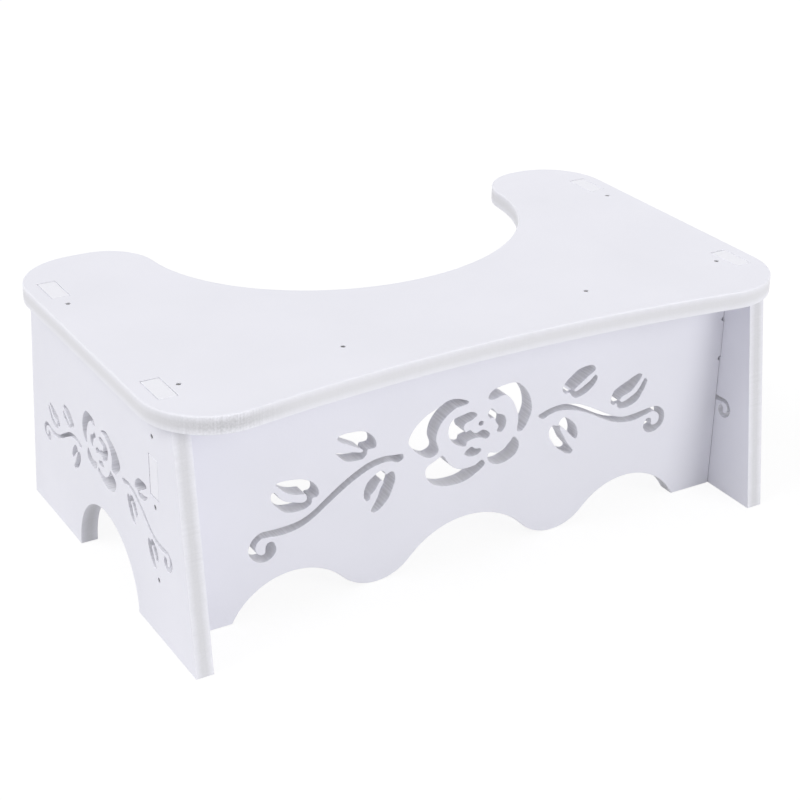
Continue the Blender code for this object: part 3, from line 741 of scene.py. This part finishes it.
# %% [markdown]
# ## Floor and light
#
# A product photograph has a white sweep and large soft lights. One wide sun high on the left makes the left side the
# brightest, a second one low in front keeps the front from going grey, and a pale sky fills in from all round. The
# three together are at a plain level, so that a colour renders about as it is written. The floor is a true white to
# the camera, through Light Path, but only partly: the rest is lit like any floor, so a faint soft shadow stays. The
# suns don't show in reflections, because seen from behind their glare would bleach the top.

# %% What the camera sees
def looked_at(tree):
    """A mask that is 1 for the camera's own rays, also for those that a surface mirrors or lets through."""
    path = tree.nodes.new("ShaderNodeLightPath").outputs
    seen = sums(tree, "MAXIMUM", path["Is Camera Ray"], path["Is Glossy Ray"])
    return sums(tree, "MAXIMUM", seen, path["Is Transmission Ray"])


# %% The floor
floor_reach = 6.0
floor_drop = 0.1 * MM
floor_mesh = bpy.data.meshes.new("floor")
square = [(x * floor_reach, y * floor_reach, 0) for x, y in ((-1, -1), (1, -1), (1, 1), (-1, 1))]
floor_mesh.from_pydata(square, [], [(0, 1, 2, 3)])
floor = bpy.data.objects.new("floor", floor_mesh)
floor.location.z = -floor_drop
bpy.context.scene.collection.objects.link(floor)
floor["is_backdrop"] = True
floor_paint = bpy.data.materials.new("floor_paint")
floor_paint.use_nodes = True
tree = floor_paint.node_tree
tree.nodes.remove(tree.nodes["Principled BSDF"])
lit = put(tree, "ShaderNodeBsdfDiffuse", {"Color": (0.72, 0.72, 0.73, 1)}).outputs[0]
partly_lit = put(tree, "ShaderNodeBsdfDiffuse", {"Color": (0.17, 0.17, 0.17, 1)}).outputs[0]
white = put(tree, "ShaderNodeEmission", {"Color": (1, 1, 1, 1), "Strength": 0.87}).outputs[0]
shown = put(tree, "ShaderNodeAddShader", {0: partly_lit, 1: white}).outputs[0]
surface = put(tree, "ShaderNodeMixShader", {0: looked_at(tree), 1: lit, 2: shown}).outputs[0]
tree.links.new(surface, tree.nodes["Material Output"].inputs["Surface"])
floor_mesh.materials.append(floor_paint)
print("floor:", floor_paint.name)

# %% The light
sky_strength = 0.567
sun_width = 40
world = bpy.data.worlds.new("soft_sky")
bpy.context.scene.world = world
world.use_nodes = True
tree = world.node_tree
fill = put(tree, "ShaderNodeBackground", {"Color": (1, 1, 1, 1), "Strength": sky_strength}).outputs[0]
white = put(tree, "ShaderNodeBackground", {"Color": (1, 1, 1, 1), "Strength": 1}).outputs[0]
surface = put(tree, "ShaderNodeMixShader", {0: looked_at(tree), 1: fill, 2: white}).outputs[0]
tree.links.new(surface, tree.nodes["World Output"].inputs["Surface"])


def wide_sun(name, azimuth, height, level):
    """A soft sun in degrees round from the front to the right and above the floor. At a level of 1 it alone would show
    a surface that faces it in its written colour."""
    data = bpy.data.lights.new(name, "SUN")
    data.energy = level * math.pi
    data.angle = math.radians(sun_width)
    sun = bpy.data.objects.new(name, data)
    sun.rotation_euler = (math.radians(90 - height), 0, math.radians(azimuth))
    sun.visible_glossy = False
    bpy.context.scene.collection.objects.link(sun)
    return level * math.sin(math.radians(height))


on_top = sky_strength + wide_sun("left_sun", -100, 45, 0.408) + wide_sun("front_sun", 30, 15, 0.36)
bpy.context.scene.view_settings.view_transform = "Standard"
print(f"a level surface gets {on_top:.2f} of plain light")

# %% [markdown]
# ## The sizes, compared
#
# Last, the dressed stool's box is written beside the solids' box. The looks stay inside the solids' size.

# %% The boxes
bpy.context.view_layer.update()
dressed_low, dressed_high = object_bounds()
apart = np.array([dressed_low - solid_low, dressed_high - solid_high]) * 1000
print("the boxes differ by", apart.round(3).tolist(), "mm")
